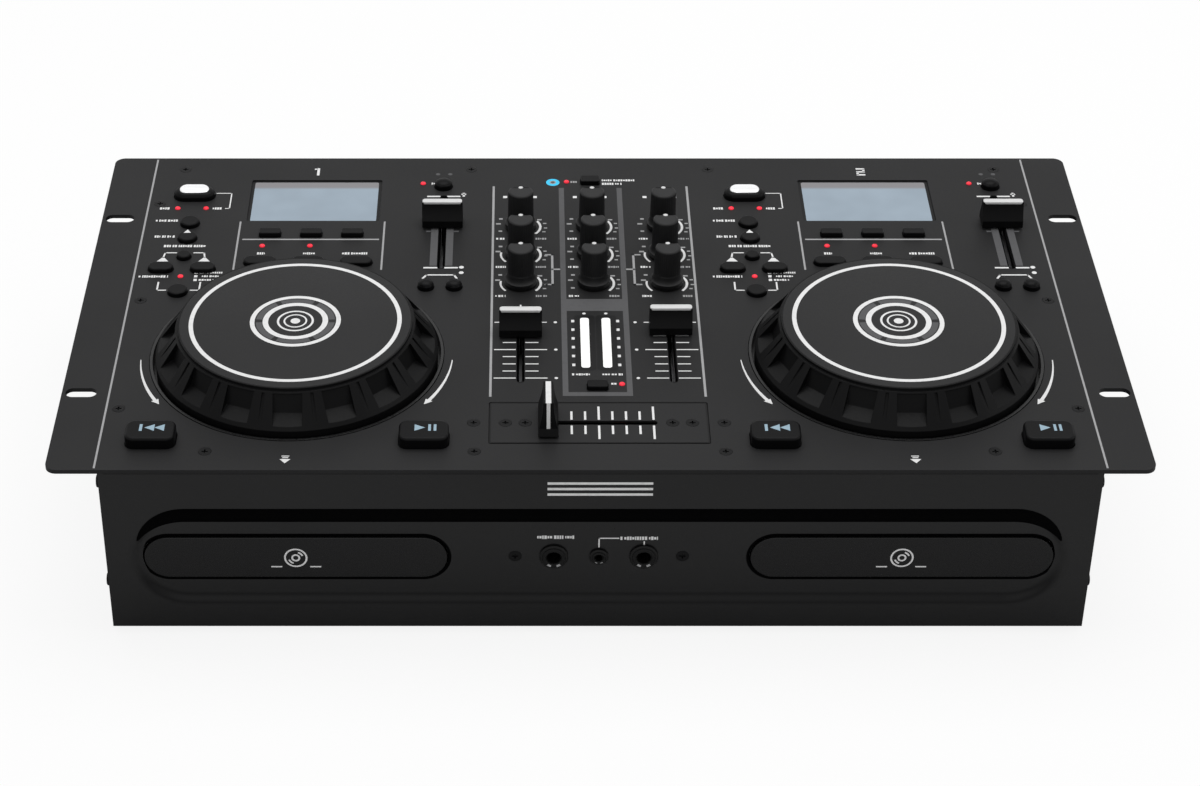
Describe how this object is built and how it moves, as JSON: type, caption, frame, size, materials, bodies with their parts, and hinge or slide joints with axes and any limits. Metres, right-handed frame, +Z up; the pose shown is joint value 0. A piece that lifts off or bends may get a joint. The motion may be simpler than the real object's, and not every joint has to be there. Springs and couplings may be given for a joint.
{
  "type": "dual CD player for DJ",
  "caption": "Twin disc deck controller with jog wheels, front loading disc trays and a small fader mixer in a rack-width case.",
  "frame": {"origin": "middle of the panel's outline at the soles of the feet", "axes": "+X to the user's right along the rack width, +Y away from the user, +Z up"},
  "size_m": [0.4826, 0.2658, 0.1133],
  "materials": {
    "panel_paint": "satin charcoal",
    "case_paint": "satin black",
    "front_plastic": "fine satin",
    "black_plastic": "satin black",
    "key_plastic": "semi-gloss black",
    "jog_plastic": "matt black",
    "door_plastic": "satin black",
    "circuit_board": "green board",
    "drive_steel": "zinc",
    "gear_plastic": "natural",
    "screw_steel": "black",
    "foot_rubber": "matt",
    "display_glass": "lit display",
    "led_red": "red lamp",
    "meter_window": "smoked",
    "pot_steel": "steel",
    "jack_plastic": "black",
    "source_silver": "silver"
  },
  "bodies": {
    "case": {"top_panel": "panel_paint", "case_tub": "case_paint", "front_panel": "front_plastic", "control_board": "circuit_board", "main_board": "circuit_board", "disc_drives": "drive_steel", "front_jacks": "jack_plastic", "rear_sockets": "jack_plastic", "panel_screws": "screw_steel", "case_screws": "screw_steel", "rubber_feet": "foot_rubber", "display_modules": "display_glass", "status_leds": "led_red", "level_meter": "meter_window", "jog_wells": "black_plastic", "potentiometers": "pot_steel", "crossfader_plate": "panel_paint"},
    "jog_wheel_left": {"jog_wheel_left": "jog_plastic"},
    "jog_wheel_right": {"jog_wheel_right": "jog_plastic"},
    "disc_tray_left": {"disc_tray_left": "door_plastic"},
    "tray_gear_left": {"tray_gear_left": "gear_plastic"},
    "disc_tray_right": {"disc_tray_right": "door_plastic"},
    "tray_gear_right": {"tray_gear_right": "gear_plastic"},
    "knob_left_front": {"knob_left_front": "black_plastic"},
    "knob_centre_front": {"knob_centre_front": "black_plastic"},
    "knob_right_front": {"knob_right_front": "black_plastic"},
    "knob_left_middle": {"knob_left_middle": "black_plastic"},
    "knob_centre_middle": {"knob_centre_middle": "black_plastic"},
    "knob_right_middle": {"knob_right_middle": "black_plastic"},
    "knob_left_back": {"knob_left_back": "black_plastic"},
    "knob_centre_back": {"knob_centre_back": "black_plastic"},
    "knob_right_back": {"knob_right_back": "black_plastic"},
    "pitch_fader_left": {"pitch_fader_left": "black_plastic"},
    "channel_fader_left": {"channel_fader_left": "black_plastic"},
    "pitch_fader_right": {"pitch_fader_right": "black_plastic"},
    "channel_fader_right": {"channel_fader_right": "black_plastic"},
    "crossfader": {"crossfader": "black_plastic"},
    "cue_button_left": {"cue_button_left": "key_plastic"},
    "play_button_left": {"play_button_left": "key_plastic"},
    "source_button_left": {"source_button_left": "source_silver"},
    "track_back_button_left": {"track_back_button_left": "key_plastic"},
    "track_forward_button_left": {"track_forward_button_left": "key_plastic"},
    "mode_keys_left": {"mode_keys_left": "key_plastic"},
    "display_keys_left": {"display_keys_left": "key_plastic"},
    "loop_keys_left": {"loop_keys_left": "key_plastic"},
    "pitch_bend_keys_left": {"pitch_bend_keys_left": "key_plastic"},
    "pitch_lock_button_left": {"pitch_lock_button_left": "key_plastic"},
    "cue_button_right": {"cue_button_right": "key_plastic"},
    "play_button_right": {"play_button_right": "key_plastic"},
    "source_button_right": {"source_button_right": "source_silver"},
    "track_back_button_right": {"track_back_button_right": "key_plastic"},
    "track_forward_button_right": {"track_forward_button_right": "key_plastic"},
    "mode_keys_right": {"mode_keys_right": "key_plastic"},
    "display_keys_right": {"display_keys_right": "key_plastic"},
    "loop_keys_right": {"loop_keys_right": "key_plastic"},
    "pitch_bend_keys_right": {"pitch_bend_keys_right": "key_plastic"},
    "pitch_lock_button_right": {"pitch_lock_button_right": "key_plastic"},
    "pairing_button": {"pairing_button": "key_plastic"},
    "meter_button": {"meter_button": "key_plastic"},
    "power_switch": {"power_switch": "black_plastic"}
  },
  "joints": [
    {"name": "jog_wheel_left_turn", "type": "hinge", "parent": "case", "child": "jog_wheel_left", "pos_m": [-0.1373, -0.04425, 0.0926], "axis": [0, 0, 1], "continuous": true},
    {"name": "jog_wheel_right_turn", "type": "hinge", "parent": "case", "child": "jog_wheel_right", "pos_m": [0.1373, -0.04425, 0.0926], "axis": [0, 0, 1], "continuous": true},
    {"name": "disc_tray_left_slide", "type": "slide", "parent": "case", "child": "disc_tray_left", "axis": [0, -1, 0], "range_m": [0, 0.138]},
    {"name": "tray_gear_left_turn", "type": "hinge", "parent": "case", "child": "tray_gear_left", "pos_m": [-0.1706, -0.11095, 0.0373], "axis": [0, 0, 1], "range_deg": [0, 791]},
    {"name": "disc_tray_right_slide", "type": "slide", "parent": "case", "child": "disc_tray_right", "axis": [0, -1, 0], "range_m": [0, 0.138]},
    {"name": "tray_gear_right_turn", "type": "hinge", "parent": "case", "child": "tray_gear_right", "pos_m": [0.0986, -0.11095, 0.0373], "axis": [0, 0, 1], "range_deg": [0, 791]},
    {"name": "knob_left_front_turn", "type": "hinge", "parent": "case", "child": "knob_left_front", "pos_m": [-0.0348, 0.01565, 0.0926], "axis": [0, 0, 1], "range_deg": [-150, 150]},
    {"name": "knob_centre_front_turn", "type": "hinge", "parent": "case", "child": "knob_centre_front", "pos_m": [0, 0.01565, 0.0926], "axis": [0, 0, 1], "range_deg": [-150, 150]},
    {"name": "knob_right_front_turn", "type": "hinge", "parent": "case", "child": "knob_right_front", "pos_m": [0.0348, 0.01565, 0.0926], "axis": [0, 0, 1], "range_deg": [-150, 150]},
    {"name": "knob_left_middle_turn", "type": "hinge", "parent": "case", "child": "knob_left_middle", "pos_m": [-0.0348, 0.04115, 0.0926], "axis": [0, 0, 1], "range_deg": [-150, 150]},
    {"name": "knob_centre_middle_turn", "type": "hinge", "parent": "case", "child": "knob_centre_middle", "pos_m": [0, 0.04115, 0.0926], "axis": [0, 0, 1], "range_deg": [-150, 150]},
    {"name": "knob_right_middle_turn", "type": "hinge", "parent": "case", "child": "knob_right_middle", "pos_m": [0.0348, 0.04115, 0.0926], "axis": [0, 0, 1], "range_deg": [-150, 150]},
    {"name": "knob_left_back_turn", "type": "hinge", "parent": "case", "child": "knob_left_back", "pos_m": [-0.0348, 0.06665, 0.0926], "axis": [0, 0, 1], "range_deg": [-150, 150]},
    {"name": "knob_centre_back_turn", "type": "hinge", "parent": "case", "child": "knob_centre_back", "pos_m": [0, 0.06665, 0.0926], "axis": [0, 0, 1], "range_deg": [-150, 150]},
    {"name": "knob_right_back_turn", "type": "hinge", "parent": "case", "child": "knob_right_back", "pos_m": [0.0348, 0.06665, 0.0926], "axis": [0, 0, 1], "range_deg": [-150, 150]},
    {"name": "pitch_fader_left_slide", "type": "slide", "parent": "case", "child": "pitch_fader_left", "axis": [0, 1, 0], "range_m": [-0.0371, 0.0229]},
    {"name": "channel_fader_left_slide", "type": "slide", "parent": "case", "child": "channel_fader_left", "axis": [0, 1, 0], "range_m": [-0.0368, 0.0082]},
    {"name": "pitch_fader_right_slide", "type": "slide", "parent": "case", "child": "pitch_fader_right", "axis": [0, 1, 0], "range_m": [-0.0371, 0.0229]},
    {"name": "channel_fader_right_slide", "type": "slide", "parent": "case", "child": "channel_fader_right", "axis": [0, 1, 0], "range_m": [-0.0385, 0.0065]},
    {"name": "crossfader_slide", "type": "slide", "parent": "case", "child": "crossfader", "axis": [1, 0, 0], "range_m": [0, 0.045]},
    {"name": "cue_button_left_slide", "type": "slide", "parent": "case", "child": "cue_button_left", "axis": [0, 0, -1], "range_m": [0, 0.001], "stiffness_N_per_m": 400},
    {"name": "play_button_left_slide", "type": "slide", "parent": "case", "child": "play_button_left", "axis": [0, 0, -1], "range_m": [0, 0.001], "stiffness_N_per_m": 400},
    {"name": "source_button_left_slide", "type": "slide", "parent": "case", "child": "source_button_left", "axis": [0, 0, -1], "range_m": [0, 0.001], "stiffness_N_per_m": 400},
    {"name": "track_back_button_left_slide", "type": "slide", "parent": "case", "child": "track_back_button_left", "axis": [0, 0, -1], "range_m": [0, 0.001], "stiffness_N_per_m": 400},
    {"name": "track_forward_button_left_slide", "type": "slide", "parent": "case", "child": "track_forward_button_left", "axis": [0, 0, -1], "range_m": [0, 0.001], "stiffness_N_per_m": 400},
    {"name": "mode_keys_left_slide", "type": "slide", "parent": "case", "child": "mode_keys_left", "axis": [0, 0, -1], "range_m": [0, 0.001], "stiffness_N_per_m": 400},
    {"name": "display_keys_left_slide", "type": "slide", "parent": "case", "child": "display_keys_left", "axis": [0, 0, -1], "range_m": [0, 0.001], "stiffness_N_per_m": 400},
    {"name": "loop_keys_left_slide", "type": "slide", "parent": "case", "child": "loop_keys_left", "axis": [0, 0, -1], "range_m": [0, 0.001], "stiffness_N_per_m": 400},
    {"name": "pitch_bend_keys_left_slide", "type": "slide", "parent": "case", "child": "pitch_bend_keys_left", "axis": [0, 0, -1], "range_m": [0, 0.001], "stiffness_N_per_m": 400},
    {"name": "pitch_lock_button_left_slide", "type": "slide", "parent": "case", "child": "pitch_lock_button_left", "axis": [0, 0, -1], "range_m": [0, 0.001], "stiffness_N_per_m": 400},
    {"name": "cue_button_right_slide", "type": "slide", "parent": "case", "child": "cue_button_right", "axis": [0, 0, -1], "range_m": [0, 0.001], "stiffness_N_per_m": 400},
    {"name": "play_button_right_slide", "type": "slide", "parent": "case", "child": "play_button_right", "axis": [0, 0, -1], "range_m": [0, 0.001], "stiffness_N_per_m": 400},
    {"name": "source_button_right_slide", "type": "slide", "parent": "case", "child": "source_button_right", "axis": [0, 0, -1], "range_m": [0, 0.001], "stiffness_N_per_m": 400},
    {"name": "track_back_button_right_slide", "type": "slide", "parent": "case", "child": "track_back_button_right", "axis": [0, 0, -1], "range_m": [0, 0.001], "stiffness_N_per_m": 400},
    {"name": "track_forward_button_right_slide", "type": "slide", "parent": "case", "child": "track_forward_button_right", "axis": [0, 0, -1], "range_m": [0, 0.001], "stiffness_N_per_m": 400},
    {"name": "mode_keys_right_slide", "type": "slide", "parent": "case", "child": "mode_keys_right", "axis": [0, 0, -1], "range_m": [0, 0.001], "stiffness_N_per_m": 400},
    {"name": "display_keys_right_slide", "type": "slide", "parent": "case", "child": "display_keys_right", "axis": [0, 0, -1], "range_m": [0, 0.001], "stiffness_N_per_m": 400},
    {"name": "loop_keys_right_slide", "type": "slide", "parent": "case", "child": "loop_keys_right", "axis": [0, 0, -1], "range_m": [0, 0.001], "stiffness_N_per_m": 400},
    {"name": "pitch_bend_keys_right_slide", "type": "slide", "parent": "case", "child": "pitch_bend_keys_right", "axis": [0, 0, -1], "range_m": [0, 0.001], "stiffness_N_per_m": 400},
    {"name": "pitch_lock_button_right_slide", "type": "slide", "parent": "case", "child": "pitch_lock_button_right", "axis": [0, 0, -1], "range_m": [0, 0.001], "stiffness_N_per_m": 400},
    {"name": "pairing_button_slide", "type": "slide", "parent": "case", "child": "pairing_button", "axis": [0, 0, -1], "range_m": [0, 0.001], "stiffness_N_per_m": 400},
    {"name": "meter_button_slide", "type": "slide", "parent": "case", "child": "meter_button", "axis": [0, 0, -1], "range_m": [0, 0.001], "stiffness_N_per_m": 400},
    {"name": "power_switch_turn", "type": "hinge", "parent": "case", "child": "power_switch", "pos_m": [0.132, 0.12155, 0.044], "axis": [-1, 0, 0], "range_deg": [0, 14]}
  ],
  "couplings": [
    {"joint": "tray_gear_left_turn", "follows": "disc_tray_left_slide", "rad_per_m": 100},
    {"joint": "tray_gear_right_turn", "follows": "disc_tray_right_slide", "rad_per_m": 100}
  ]
}
